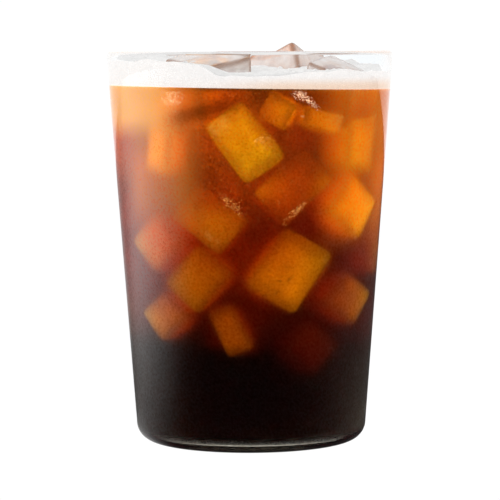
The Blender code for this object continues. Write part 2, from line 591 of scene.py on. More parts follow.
@dataclass(frozen=True)
class BlackCoffee:
    """Black coffee: clear as a liquid, dark by its depth, with a misty skin that holds amber light."""

    index: float = 1.333
    red: float = 90.0
    green: float = 235.0
    blue: float = 900.0
    mist: Cloud = (35.0, 0.42, 0.60)
    aside_span: Point = (0.014, 0.030)
    aside: Point = (0.72, 1.12)
    clear_foot: Point = (0.0032, 0.0056)
    fine_grain: float = 1300.0
    coarse_grain: Cloud = (260.0, 0.74, 1.15)
    grain_tone: Triple = (0.48, 0.41, 0.36)
    # The streak of painted shade on the front of the skin
    crease: PaintedShadeStreak = PaintedShadeStreak()
    skin_start: float = 0.0322
    deep_band: Point = (0.030, 0.064)
    deep_glow: Triple = (0.085, 0.004, 0.0)
    high_band: Point = (0.060, 0.104)
    high_glow: Triple = (0.24, 0.035, 0.001)
    drift: Cloud = (55.0, 0.55, 1.35)
    sweep_span: Point = (-0.022, 0.022)
    sweep: Point = (1.35, 0.60)
    glow_grain: Cloud = (1500.0, 0.50, 1.50)
    shade_span: Point = (0.1080, 0.1092)
    shade: Point = (1.0, 0.10)
    patches: tuple[SkinGlow, ...] = (
        SkinGlow((0.40, 0.105, 0.012), (-0.011, -0.022), (0.062, 0.080), (-0.0315, -0.0365)),
        SkinGlow((0.74, 0.315, 0.055), (-0.0185, -0.0290), (0.0925, 0.1015)),
        SkinGlow((0.32, 0.066, 0.001), (0.017, 0.028), (0.058, 0.074)),
        SkinGlow((0.56, 0.130, 0.001), (0.033, 0.0385), (0.050, 0.085)),
    )

    def build(self, effects: SharedEffects) -> Finish:
        """Makes the material."""
        board = Board("black_coffee", effects)
        board.set(IOR=self.index, Transmission_Weight=1.0, Metallic=0.0, Specular_Tint=(0.0, 0.0, 0.0, 1.0))
        axes = board.axes()
        aside = board.ramp(board.maths("ABSOLUTE", axes["X"], 0.0), self.aside_span, self.aside)
        board.feed("Roughness", board.product(board.cloud(*self.mist), aside, board.band(*self.clear_foot)))
        grain = board.product(board.cloud(self.fine_grain), board.cloud(*self.coarse_grain))
        grained = board.blend(grain, self.grain_tone, (1.0, 1.0, 1.0))
        # The painted shade darkens the drink's colour and dims its painted glow under the streak
        crease = self.crease.mask(board, axes)
        board.feed("Base Color", board.blend(crease, grained, self.crease.tone))
        lit = board.maths("SUBTRACT", 1.0, crease)
        board.feed("Emission Color", board.scaled(self.glow(board, axes), lit))
        board.set(Emission_Strength=1.0)
        soak = board.nodes.new("ShaderNodeVolumeAbsorption")
        soak.inputs["Density"].default_value = self.blue
        soak.inputs["Color"].default_value = (1 - self.red / self.blue, 1 - self.green / self.blue, 0.0, 1.0)
        board.links.new(soak.outputs["Volume"], board.output.inputs["Volume"])
        return board.material

    def glow(self, board: Board, axes: Axes) -> Socket:
        """The amber light of the drink, on its outer skin alone and dying away towards the foot."""
        deep = board.blend(board.band(*self.deep_band), (0.0, 0.0, 0.0), self.deep_glow)
        tone = board.blend(board.band(*self.high_band), deep, self.high_glow)
        sweep = board.ramp(axes["X"], self.sweep_span, self.sweep)
        under_froth = board.ramp(axes["Z"], self.shade_span, self.shade)
        shade = board.product(board.cloud(*self.glow_grain), under_froth)
        inner = board.scaled(tone, board.product(board.cloud(*self.drift), sweep, shade))
        for patch in self.patches:
            inner = board.blend(patch.mask(board, axes), inner, patch.tone)
        return board.scaled(inner, board.outer_skin(axes, self.skin_start))


@dataclass(frozen=True)
class MeltingIce:
    """Ice: milky where it stands out of the drink, darkened there along its edges with painted shade, and
    below it glowing with painted amber light, as if lit through by the amber round it.
    """

    name: str = "melting_ice"
    index: float = 1.31
    clearness: float = 0.58
    frost_scale: float = 420.0
    pale: tuple[Triple, Triple] = ((0.74, 0.64, 0.60), (0.90, 0.86, 0.84))
    # Colour of the painted shade along the edges of the cubes that stand out of the drink
    edge_tone: Triple = (0.36, 0.22, 0.16)
    roughness: Cloud = (180.0, 0.06, 0.25)
    glow_band: Point = (0.1105, 0.1075)
    mottles: tuple[Cloud, Cloud] = ((160.0, 0.72, 1.15), (1100.0, 0.80, 1.18))
    dimple_scale: float = 260.0
    dimple: Point = (0.00012, 0.5)

    def build(self, effects: SharedEffects) -> Finish:
        """Makes the material."""
        board = Board(self.name, effects)
        board.set(IOR=self.index, Transmission_Weight=self.clearness, Metallic=0.0, Emission_Strength=1.0)
        pale = board.blend(board.cloud(self.frost_scale), *self.pale)
        # The edge attribute darkens the colour towards the cube's edges: painted shade
        board.feed("Base Color", board.blend(board.attribute("edge", "Fac"), pale, self.edge_tone))
        board.feed("Roughness", board.cloud(*self.roughness))
        mottle = board.product(*(board.cloud(*each) for each in self.mottles))
        # The painted glow, held below the drink's level
        held = board.product(board.band(*self.glow_band), mottle)
        board.feed("Emission Color", board.scaled(board.attribute("glow"), held))
        board.relief(board.cloud(self.dimple_scale), *self.dimple)
        return board.material


@dataclass(frozen=True)
class GlowingCloudyIce:
    """The cloudy heart of the ice, which glows with painted amber light that shines out through the drink."""

    roughness: float = 0.6
    mottle: Cloud = (150.0, 0.75, 1.0)
    tones: tuple[Triple, Triple] = ((0.80, 0.60, 0.40), (0.96, 0.80, 0.60))

    def build(self, effects: SharedEffects) -> Finish:
        """Makes the material."""
        board = Board("glowing_cloudy_ice", effects)
        board.set(Roughness=self.roughness, Metallic=0.0, Emission_Strength=1.0)
        mottle = board.cloud(*self.mottle)
        board.feed("Base Color", board.blend(mottle, *self.tones))
        # The heart gives off painted amber light
        board.feed("Emission Color", board.scaled(board.attribute("glow"), mottle))
        return board.material


@dataclass(frozen=True)
class GlowingFleck:
    """Frost, fizz and pits: matt, each fleck in the tone that it carries, which it also gives off, so that
    most flecks show as painted highlights.
    """

    roughness: float = 0.8
    index: float = 1.33
    own_light: float = 0.8
    mottle: Cloud = (700.0, 0.8, 1.1)

    def build(self, effects: SharedEffects) -> Finish:
        """Makes the material."""
        board = Board("glowing_fleck", effects)
        board.set(Roughness=self.roughness, Metallic=0.0, IOR=self.index, Emission_Strength=self.own_light)
        # One tone for colour and glow: painted highlights
        tone = board.scaled(board.attribute("glow"), board.cloud(*self.mottle))
        board.feed("Base Color", tone)
        board.feed("Emission Color", tone)
        return board.material


@dataclass(frozen=True)
class FineFroth:
    """Pale froth of fine bubbles, stained at its foot by the coffee."""

    roughness: float = 0.75
    index: float = 1.33
    white: Triple = (0.95, 0.925, 0.905)
    between_cells: float = 0.93
    cell_scale: float = 1400.0
    cell_width: float = 0.62
    # For the froth, the colour of the coffee stain at its foot
    stain: Triple = (0.86, 0.66, 0.52)
    stain_band: Point = (0.1128, 0.1094)
    stain_span: Point = (-0.016, 0.012)
    stain_share: Point = (0.12, 1.0)
    body: Cloud = (500.0, 0.34, 0.44)
    skin_start: float = 0.0324
    own_light: Point = (0.50, 0.83)
    coarse_scale: float = 900.0
    lumps: Point = (0.00018, 0.7)

    def build(self, effects: SharedEffects) -> Finish:
        """Makes the material; its own light is given for the top and for the side against the glass."""
        board = Board("fine_froth", effects)
        board.set(Roughness=self.roughness, Metallic=0.0, IOR=self.index)
        axes = board.axes()
        cells = board.effect(effects.cells, "Mask", Scale=self.cell_scale, Width=self.cell_width)
        pale = board.blend(cells, tuple(self.between_cells * c for c in self.white), self.white)
        rightward = board.ramp(axes["X"], self.stain_span, self.stain_share)
        tone = board.blend(board.product(board.band(*self.stain_band), rightward), pale, self.stain)
        board.feed("Base Color", board.scaled(tone, board.cloud(*self.body)))
        held = board.ramp(board.outer_skin(axes, self.skin_start), (0.0, 1.0), self.own_light)
        board.feed("Emission Color", board.scaled(tone, held))
        board.set(Emission_Strength=1.0)
        board.relief(board.maths("ADD", cells, board.cloud(self.coarse_scale)), *self.lumps)
        return board.material


@dataclass(frozen=True)
class StudioSurface:
    """A plain white surface that glows evenly, and mirrors in glass as a bright card at the left."""

    name: str
    light: float
    mirrored: float = 0.05
    card: float = 6.0
    card_start: Point = (44.0, 80.0)
    card_end: Point = (80.0, 146.0)
    card_depth: Point = (0.03, 0.45)
    past_card: float = 0.06
    near_card: float = 0.08

    def card_light(self, board: Board) -> Socket:
        """What glass mirrors of the surface: dim, with a bright card round the left."""
        axes = board.axes()
        leftward, forward = (board.product(axes[axis], -1.0) for axis in "XY")
        bearing = board.maths("ARCTAN2", leftward, forward)
        span = board.nodes.new("ShaderNodeVectorMath")
        span.operation = "LENGTH"
        board.links.new(board.place, span.inputs[0])
        start, end = (tuple(map(math.radians, angles)) for angles in (self.card_start, self.card_end))
        card = board.product(
            board.ramp(bearing, start, (0.0, self.card)),
            board.ramp(bearing, end, (1.0, self.past_card)),
            board.ramp(span.outputs["Value"], self.card_depth, (self.near_card, 1.0)),
        )
        return board.maths("ADD", card, self.mirrored)

    def build(self) -> Finish:
        """Makes the material."""
        board = Board(self.name)
        board.set(Base_Color=(0.0, 0.0, 0.0, 1.0), Roughness=1.0, Specular_IOR_Level=0.0,
                  Emission_Strength=1.0)
        path = board.nodes.new("ShaderNodeLightPath")
        mirror = board.product(path.outputs["Is Reflection Ray"], path.outputs["Is Glossy Ray"])
        change = board.maths("SUBTRACT", self.card_light(board), self.light)
        light = board.maths("ADD", board.product(mirror, change), self.light)
        paint = board.nodes.new("ShaderNodeCombineColor")
        for label in ("Red", "Green", "Blue"):
            board.links.new(light, paint.inputs[label])
        board.feed("Emission Color", paint.outputs["Color"])
        return board.material


# Pieces


@dataclass
class Tumbler:
    """The straight glass with its rounded rim and shallow punt."""

    form: TumblerForm
    steps: int = 256
    bend_steps: int = 14

    def section(self) -> list[Point]:
        """The glass's section, from the middle of its floor over the rim to the middle of its underside."""
        form = self.form
        lip = form.rim_wall / 2
        top = form.height - lip
        inside = [(0.0, form.base_thickness)] + form.floor_corner(form.base_thickness, 0.0)[::-1]
        inner_parts = form.straight(inside[-1], (form.inner_radius(top), top))
        over = form.arc((form.rim_radius - lip, top), lip, 180 - form.lean, -form.lean, self.bend_steps)
        foot = (form.foot_radius, form.corner_radius)
        outside = form.arc(foot, form.corner_radius, -form.lean, -90, self.bend_steps)
        punt = [
            (form.punt_radius, 0.0),
            (form.punt_radius - 2 * form.punt_depth, form.punt_depth),
            (0.0, form.punt_depth),
        ]
        outer_parts = form.straight(over[-1], outside[0])
        return inside + inner_parts + over + outer_parts + outside + punt

    def build(self) -> Piece:
        """Turns the glass."""
        piece = turned("tumbler", self.section(), self.steps)
        smooth(piece, 40)
        return piece

    def dress(self, piece: Piece, finish: Finish) -> None:
        """Gives the glass its finish and its place on the frame."""
        piece.data.materials.append(finish)
        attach(piece, ROOT)
        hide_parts("glass")


@dataclass(frozen=True)
class IceBlock:
    """One cube: its middle, turn and edges in millimetres and degrees, and the light it holds."""

    name: str
    centre: Triple
    turn: Triple
    size: Triple
    glow: Triple = (0.0, 0.0, 0.0)
    cut_by: tuple[str, ...] = ()

    def matrix(self) -> Matrix:
        """The cube's place and turn, in metres."""
        turn = Euler([math.radians(a) for a in self.turn]).to_matrix().to_4x4()
        return Matrix.Translation(Vector(self.centre) * MM) @ turn


@dataclass(frozen=True)
class CornerBlock(IceBlock):
    """A cube that stands on a corner, placed by two of the edges that fall from its top corner."""

    falls: tuple[Triple, Triple] = ((0.20, -0.566, -0.80), (-0.81, 0.367, -0.46))

    def matrix(self) -> Matrix:
        """The cube's place and turn, in metres."""
        first = -Vector(self.falls[0]).normalized()
        second = -Vector(self.falls[1]).normalized()
        third = first.cross(second).normalized()
        second = third.cross(first)
        turn = Matrix((first, second, third)).transposed().to_4x4()
        return Matrix.Translation(Vector(self.centre) * MM) @ turn


SURFACE_ICE = (
    IceBlock("ice_cube_1", (-12.2, -17.5, 107.9), (8, -9, 38), (19.11, 19.11, 19.11), (0.54, 0.29, 0.01)),
    CornerBlock("ice_cube_2", (12.2, 4.8, 107.0), (0, 0, 0), (20.085, 20.085, 20.085), (0.6, 0.24, 0.01)),
    IceBlock("ice_cube_3", (25.5, -16.2, 107.0), (4, 18, -30), (15.6, 15.6, 15.6), (0.16, 0.04, 0.0)),
    IceBlock("ice_cube_4", (-12.5, 20.5, 106.4), (-16, 12, 18), (19.5, 19.5, 19.5), (0.6, 0.24, 0.01)),
)

FRONT_ICE = tuple(IceBlock(f"sunk_ice_{letter}", *form) for letter, *form in (
    ("a", (-1.4, -31.2, 93.4), (-1, 55, -2), (20.4, 13.0, 13.5), (0.41, 0.27, 0.0), ("ice_cube_1",)),
    ("b", (11.2, -24.7, 79.7), (-1, 48, 9), (13.6, 15.0, 19.4), (0.19, 0.04, 0.0)),
    ("c", (10.1, -22.0, 54.9), (-2, 33, 8), (16.4, 15.0, 20.6), (0.57, 0.33, 0.0)),
    ("d", (-10.2, -24.2, 70.4), (-1, 38, -11), (18.0, 18.0, 13.4), (0.1, 0.03, 0.0)),
    ("e", (-13.5, -22.1, 52.3), (-2, 41, -15), (13.4, 15.0, 16.3), (0.26, 0.13, 0.0)),
    ("f", (-4.9, -21.0, 37.0), (0, -24, -7), (7.4, 15.0, 14.5), (0.30, 0.14, 0.0)),
    ("g", (26.6, -15.4, 93.4), (0, 7, 60), (13.0, 11.0, 19.0), (0.68, 0.42, 0.0), ("ice_cube_3",)),
    ("h", (24.9, -14.0, 73.4), (-1, 38, 44), (15.0, 13.5, 14.3), (0.80, 0.44, 0.0)),
    ("i", (23.1, -7.3, 45.2), (-2, 37, 30), (12.4, 18.0, 11.7), (0.46, 0.24, 0.0)),
    ("j", (-24.8, -16.4, 103.6), (0, 2, -34), (22.5, 12.0, 10.6), (0.10, 0.07, 0.01), ("ice_cube_1",)),
    ("k", (-22.8, -22.0, 91.2), (0, 8, -46), (8.5, 10.0, 15.0), (0.62, 0.36, 0.03), ("ice_cube_1",)),
    ("l", (-22.1, -12.0, 62.6), (-2, 45, -29), (12.9, 18.0, 13.4), (0.56, 0.30, 0.01)),
    ("m", (-21.6, -14.6, 40.7), (-3, 46, -27), (11.3, 14.0, 11.4), (0.42, 0.20, 0.0)),
    ("n", (13.8, -9.7, 30.6), (-3, 42, 14), (13.0, 18.0, 12.1), (0.09, 0.012, 0.0)),
    ("o", (8.3, -32.0, 102.6), (0, 30, -14), (8.8, 8.5, 8.2), (0.42, 0.18, 0.0)),
    ("p", (19.5, -28.6, 99.6), (0, 14, 30), (13.0, 6.5, 6.4), (0.38, 0.15, 0.0), ("ice_cube_3",)),
))

# Cubes round the sides and back: middle, turn and edges
ROUND_ICE = (
    ((19.2, 20.1, 67.9), (5, 19, 130), (18.0, 10.2, 15.7)),
    ((-14.9, 19.9, 42.1), (-5, 20, 218), (16.6, 12.4, 19.6)),
    ((-6.3, 27.5, 75.4), (-2, 59, 189), (18.0, 11.4, 18.1)),
    ((-25.6, 8.7, 72.6), (2, 63, 251), (15.3, 13.3, 19.1)),
    ((18.4, 23.6, 92.5), (-6, 16, 138), (17.0, 11.9, 17.5)),
    ((10.1, 26.2, 48.4), (-3, 44, 162), (15.8, 10.5, 16.0)),
    ((-28.7, 12.3, 91.4), (0, 64, 242), (15.1, 10.4, 17.9)),
    ((-27.8, 5.2, 41.0), (1, 20, 266), (15.9, 10.4, 12.9)),
    ((22.3, 14.0, 36.5), (-1, 24, 129), (15.4, 13.7, 13.5)),
    ((27.8, 9.1, 82.3), (3, 41, 104), (11.1, 15.4, 9.9)),
    ((-0.4, 31.4, 91.6), (-4, 46, 172), (10.5, 10.1, 10.5)),
    ((28.6, 1.2, 58.9), (-2, 64, 93), (9.9, 12.4, 11.8)),
    ((-27.8, -7.2, 84.8), (5, 68, 279), (9.6, 12.2, 11.6)),
    ((-18.4, 23.0, 62.0), (4, 71, 226), (9.7, 10.6, 12.3)),
    ((-26.6, 5.7, 57.0), (-4, 67, 250), (10.8, 12.6, 10.3)),
)


@dataclass(frozen=True)
class HeartIce:
    """The cloudy ice packed in the middle, in levels from the foot up: height and light of each."""

    levels: tuple[Point, ...] = ((37.0, 0.12), (51.5, 0.35), (66.5, 0.60), (81.5, 0.9), (96.5, 1.6))
    around: int = 3
    start: float = 250.0
    reach: float = 10.2
    edge: float = 14.6
    twist: float = 47.0
    tilt: Point = (9.0, 8.0)
    spin: Point = (30.0, 20.0)
    cut_above: float = 85.0
    tone: Triple = (1.0, 0.62, 0.04)

    def blocks(self) -> tuple[IceBlock, ...]:
        """The cubes of every level, each level turned on the one below."""
        made = []
        for level, (height, light) in enumerate(self.levels):
            away = tuple(block.name for block in SURFACE_ICE) if height > self.cut_above else ()
            glow = tuple(light * share for share in self.tone)
            for place in range(self.around):
                azimuth = math.radians(self.start + 360.0 * place / self.around + self.twist * level)
                centre = (self.reach * math.cos(azimuth), self.reach * math.sin(azimuth), height)
                turn = (self.tilt[0] * math.sin(level + place), self.tilt[1] * math.cos(level - place),
                        self.spin[0] * place + self.spin[1] * level)
                name = f"ice_heart_{self.around * level + place + 1}"
                made.append(IceBlock(name, centre, turn, (self.edge,) * 3, glow, away))
        return tuple(made)


@dataclass
class IceMould:
    """Makes melted cubes, all of one fineness from one blank."""

    cuts: int = 3
    least: float = 1e-6
    melt: float = 0.0008
    melt_scale: float = 0.8
    usual_edge: float = 19.5
    dim: float = 0.85
    dim_span: Point = (0.40, 1.0)
    # How strongly, and from which reach to which, a surface cube's edges are darkened with painted shade
    stain: float = 0.95
    stain_span: Point = (0.80, 0.95)
    blanks: dict[Fineness, Piece] = field(default_factory=dict)

    def blank(self, fineness: Fineness) -> Piece:
        """The cube two units wide that every cube of one fineness starts from, made at its first use."""
        if fineness not in self.blanks:
            deselect_everything()
            bpy.ops.mesh.primitive_cube_add(size=2.0, location=(0.0, 0.0, 0.0))
            blank = bpy.context.object
            blank.name = f"ice_blank_{fineness.name.lower()}"
            bpy.ops.object.mode_set(mode="EDIT")
            bpy.ops.mesh.select_all(action="SELECT")
            bpy.ops.mesh.subdivide(number_cuts=self.cuts)
            bpy.ops.object.mode_set(mode="OBJECT")
            _, crowding = fineness.value
            for vertex in blank.data.vertices:
                places = [c if abs(c) > self.least else 0.0 for c in vertex.co]
                vertex.co = [math.copysign(abs(c) ** crowding, c) for c in places]
            self.blanks[fineness] = blank
        return self.blanks[fineness]

    def cube(self, block: IceBlock, name: str, seed: float, fineness: Fineness, side: Side) -> Piece:
        """One melted cube at its place.

        Args:
            block: Its place, turn, edges and light.
            name: Name of the piece.
            seed: Sets how its faces swell and sink.
            fineness: How finely it is subdivided and how crisp its edges are.
            side: How far its faces are moved out or in.

        Returns:
            The cube, its place in its mesh.
        """
        piece = copied(name, self.blank(fineness), Matrix())
        piece.data.name = name
        half = [edge * MM / 2 for edge in block.size]
        own = block.size[0] / self.usual_edge if block in SURFACE_ICE else 1.0
        grow = side.value * MM
        for vertex in piece.data.vertices:
            drift = noise.noise_vector(vertex.co * self.melt_scale + Vector((seed, 2 * seed, -seed)))
            vertex.co = [c * (h + grow) + d * self.melt * own for c, h, d in zip(vertex.co, half, drift)]
        round_off = piece.modifiers.new("round", "SUBSURF")
        round_off.levels, _ = fineness.value
        round_off.render_levels = round_off.levels
        pick(piece)
        bpy.ops.object.modifier_apply(modifier=round_off.name)
        self.light(piece, block, half)
        piece.data.transform(block.matrix())
        piece.data.update()
        return piece

    def light(self, piece: Piece, block: IceBlock, half: list[float]) -> None:
        """Writes a cube's light, faint along its edges, and the painted shade along a surface cube's edges.
        """
        piece.data.attributes.new("glow", "FLOAT_COLOR", "POINT")
        piece.data.attributes.new("edge", "FLOAT", "POINT")
        layer, edge = piece.data.attributes["glow"], piece.data.attributes["edge"]
        # The edge attribute carries painted shade along a surface cube's edges
        stain = self.stain if block in SURFACE_ICE else 0.0
        for index, vertex in enumerate(piece.data.vertices):
            reach = sorted(abs(c) / h for c, h in zip(vertex.co, half))
            full = 1.0 - self.dim * eased(*self.dim_span, reach[1])
            edge.data[index].value = stain * eased(*self.stain_span, reach[1])
            layer.data[index].color = (*[c * full for c in block.glow], 1.0)

    def clear_bench(self) -> None:
        """Removes the blanks."""
        discard(list(self.blanks.values()))
        self.blanks.clear()


@dataclass
class IceFill:
    """All the ice: the cubes that break the surface, those sunk in the drink and their cloudy hearts."""

    mould: IceMould
    surface: tuple[IceBlock, ...] = SURFACE_ICE
    front: tuple[IceBlock, ...] = FRONT_ICE
    hearts: tuple[IceBlock, ...] = HeartIce().blocks()
    light_heights: Point = (32.0, 92.0)
    shaded_before: Point = (-25.0, 9.0)
    shaded_share: float = 0.25
    least_glow: Triple = (0.14, 0.05, 0.0)
    more_glow: Triple = (0.62, 0.35, 0.01)
    sunk_seed: float = 20.0
    seed_step: float = 1.7
    heart_seed: float = 80.0
    rooms: list[Piece] = field(default_factory=list)
    top_rooms: list[Piece] = field(default_factory=list)

    def round_blocks(self) -> tuple[IceBlock, ...]:
        """The cubes round the sides and back, their light fading towards the foot and at the left."""
        made = []
        for index, (centre, turn, size) in enumerate(ROUND_ICE):
            share = eased(*self.light_heights, centre[2])
            if centre[0] < self.shaded_before[0] and centre[1] < self.shaded_before[1]:
                share *= self.shaded_share
            glow = tuple(least + more * share for least, more in zip(self.least_glow, self.more_glow))
            made.append(IceBlock(f"sunk_ice_back_{index + 1}", centre, turn, size, glow))
        return tuple(made)

    def surface_cubes(self, ending: str, side: Side, blocks: Iterable[IceBlock] = SURFACE_ICE) -> list[Piece]:
        """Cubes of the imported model, made finer by the same rule, or the rooms or spaces for them."""
        made = []
        for block in blocks:
            seed = SEED + self.surface.index(block)
            made.append(self.mould.cube(block, block.name + ending, seed, Fineness.SURFACE, side))
        return made

    def sunk_cube(self, block: IceBlock, seed: float, room: bool) -> Piece:
        """A sunk cube or the room for it, cut round the surface cubes that it leans on."""
        side = Side.TIGHT if room else Side.SAME
        name = block.name + ("_room" if room else "")
        piece = self.mould.cube(block, name, seed, Fineness.SUNK, side)
        away = [b for b in self.surface if b.name in block.cut_by]
        if away:
            cutters = self.surface_cubes("_space", Side.ROOMIER if room else Side.ROOMY, away)
            carve(piece, cutters)
            discard(cutters)
        return piece

    def build(self) -> dict[str, list[Piece]]:
        """Makes every cube, and the rooms that the coffee and froth are cut with.

        Returns:
            The cubes by kind: surface, sunk and hearts.
        """
        noise.seed_set(SEED)
        surface = self.surface_cubes("_melting", Side.SAME)
        self.top_rooms = self.surface_cubes("_room", Side.TIGHT)
        sunk = []
        for index, block in enumerate(self.front + self.round_blocks()):
            seed = self.sunk_seed + index * self.seed_step
            sunk.append(self.sunk_cube(block, seed, False))
            self.rooms.append(self.sunk_cube(block, seed, True))
        hearts = []
        for index, block in enumerate(self.hearts):
            hearts.append(self.sunk_cube(block, self.heart_seed + index, False))
        self.mould.clear_bench()
        for piece in surface + sunk + hearts:
            smooth(piece, 60)
        return {"surface": surface, "sunk": sunk, "hearts": hearts}

    def dress(self, kinds: dict[str, list[Piece]], finishes: dict[str, Finish]) -> None:
        """Gives the ice its finishes and its place on the frame."""
        for block, piece in zip(self.surface, kinds["surface"]):
            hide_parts(block.name)
        for kind, pieces in kinds.items():
            for piece in pieces:
                piece.data.materials.clear()
                piece.data.materials.append(finishes[kind])
                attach(piece, ROOT)


@dataclass
class Coffee:
    """The coffee up to its level, with room for all the ice."""

    form: TumblerForm
    steps: int = 256
    rings: int = 8
    near: float = 0.0001

    def section(self) -> list[Point]:
        """The drink's section from the middle of its surface to the middle of its underside."""
        form = self.form
        level, floor = form.drink_level, form.base_thickness - form.reach
        side = (form.inner_radius(level) + form.reach, level)
        rings = [(side[0] * i / self.rings, level) for i in range(self.rings)]
        corner = form.floor_corner(floor, -form.reach)
        return rings + [side] + form.straight(side, corner[0]) + corner + [(0.0, floor)]

    def build(self, rooms: list[Piece]) -> Piece:
        """Turns the drink, tilts its surface and cuts it round the ice."""
        form = self.form
        piece = turned("black_coffee", self.section(), self.steps)
        edge = form.inner_radius(form.drink_level) + form.reach
        for vertex in piece.data.vertices:
            x, y, z = vertex.co
            if z > form.drink_level - self.near:
                height = form.level_at(x)
                scale = 1.0
                if math.hypot(x, y) > edge - self.near:
                    scale = (form.inner_radius(height) + form.reach) / math.hypot(x, y)
                vertex.co = (x * scale, y * scale, height)
        carve(piece, rooms)
        smooth(piece, 40)
        return piece

    def dress(self, piece: Piece, finish: Finish) -> None:
        """Gives the coffee its finish and its place on the frame."""
        piece.data.materials.clear()
        piece.data.materials.append(finish)
        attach(piece, ROOT)
        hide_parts("coffee")


@dataclass
class Froth:
    """The pale froth on the drink, lumpy on top and banked up at the left."""

    form: TumblerForm
    froth: FrothForm
    rings: int = 56
    steps: int = 224
    blank_depth: float = 0.0012
    near_base: float = 0.0003
    near_rim: float = 0.0004

    def build(self, rooms: list[Piece]) -> Piece:
        """Turns the froth, lifts its top, lays it on the drink and cuts it round the ice."""
        form = self.form
        top, base = form.drink_level + self.blank_depth, form.drink_level
        rim = form.inner_radius(top)
        section = [(rim * i / self.rings, top) for i in range(self.rings + 1)]
        section += [(form.inner_radius(base), base), (0.0, base)]
        piece = turned("fine_froth", section, self.steps)
        for vertex in piece.data.vertices:
            x, y, z = vertex.co
            on_top = z > base + self.near_base
            height = self.froth.top(x, y, form) if on_top else form.level_at(x) - form.reach
            distance = math.hypot(x, y)
            if distance > rim - self.near_rim:
                scale = (form.inner_radius(height) + form.reach) / distance
                x, y = x * scale, y * scale
            vertex.co = (x, y, height)
        carve(piece, rooms)
        smooth(piece, 50)
        return piece

    def dress(self, piece: Piece, finish: Finish) -> None:
        """Gives the froth its finish and its place on the frame."""
        piece.data.materials.clear()
        piece.data.materials.append(finish)
        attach(piece, ROOT)
        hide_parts("foam")


@dataclass
class FrothBubbles:
    """Single bubbles on the froth's top."""

    form: TumblerForm
    froth: FrothForm
    on_top: int = 260
    sizes: Point = (0.00022, 0.00085)
    spread: Point = (0.10, 0.97)
    rim_height: float = 0.112
    rim_gap: float = 0.0012
    sunk: float = 0.25
    flatness: float = 0.86

    def spots(self) -> list[tuple[Vector, float]]:
        """Middle and radius of each bubble."""
        chance = random.Random(SEED)
        rim = self.form.inner_radius(self.rim_height) - self.rim_gap
        made = []
        for _ in range(self.on_top):
            azimuth = chance.uniform(0.0, 2 * math.pi)
            distance = math.sqrt(chance.uniform(*self.spread)) * rim
            x, y = distance * math.cos(azimuth), distance * math.sin(azimuth)
            radius = self.sizes[0] + (self.sizes[1] - self.sizes[0]) * chance.random() ** 3
            made.append((Vector((x, y, self.froth.top(x, y, self.form) - radius * self.sunk)), radius))
        return made

    def build(self) -> Piece:
        """Models one bubble and sets copies of it in one piece."""
        deselect_everything()
        bpy.ops.mesh.primitive_ico_sphere_add(subdivisions=2, radius=1.0, location=(0.0, 0.0, 0.0))
        one = bpy.context.object
        bpy.ops.object.mode_set(mode="EDIT")
        bpy.ops.mesh.select_all(action="SELECT")
        bpy.ops.transform.resize(value=(1.0, 1.0, self.flatness))
        bpy.ops.object.mode_set(mode="OBJECT")
        copies = []
        for centre, radius in self.spots():
            place = Matrix.Translation(centre) @ Matrix.Scale(radius, 4)
            copies.append(copied("froth_bubble", one, place))
        discard([one])
        return joined("froth_bubbles", copies, 180)

    def dress(self, piece: Piece, finish: Finish) -> None:
        """Gives the bubbles their finish and their place on the frame."""
        piece.data.materials.append(finish)
        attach(piece, ROOT)


@dataclass(frozen=True)
class FleckCluster:
    """A patch of flecks against the glass, in millimetres and degrees, its bearing taken from the front."""

    bearing: float
    height: float
    reach: Point
    lean: float
    count: int
    sizes: Point
    glow: Triple
    stretch: float = 2.2


# The glow of each patch is the tone of its flecks' painted highlights, near black for the dark patch
FLECK_CLUSTERS = (
    FleckCluster(20.8, 107.3, (2.2, 1.5), -20.0, 130, (0.07, 0.22), (1.0, 0.84, 0.76), 1.4),
    FleckCluster(24.2, 105.8, (4.6, 0.9), -34.0, 170, (0.06, 0.20), (0.95, 0.76, 0.66), 1.7),
    FleckCluster(-33.6, 106.8, (3.6, 3.4), 0.0, 290, (0.07, 0.20), (0.92, 0.80, 0.74), 1.2),
    FleckCluster(22.4, 101.0, (0.6, 0.4), 10.0, 8, (0.08, 0.18), (0.80, 0.42, 0.20)),
    FleckCluster(4.8, 94.2, (2.6, 1.0), 14.0, 50, (0.06, 0.16), (0.95, 0.55, 0.14)),
    FleckCluster(7.6, 92.6, (3.4, 2.4), -40.0, 70, (0.05, 0.13), (0.80, 0.38, 0.08)),
    FleckCluster(-8.2, 75.4, (4.6, 1.5), -42.0, 110, (0.06, 0.18), (0.85, 0.46, 0.12)),
    FleckCluster(-18.0, 65.4, (2.6, 1.0), -38.0, 40, (0.06, 0.15), (0.75, 0.36, 0.08)),
    FleckCluster(20.3, 72.9, (4.6, 0.9), 40.0, 110, (0.06, 0.18), (0.80, 0.40, 0.12)),
    FleckCluster(12.6, 51.6, (7.0, 5.0), 25.0, 130, (0.10, 0.24), (0.02, 0.004, 0.0)),
    FleckCluster(-5.0, 88.0, (20.0, 20.0), 0.0, 420, (0.08, 0.14), (0.85, 0.46, 0.12), 1.0),
)


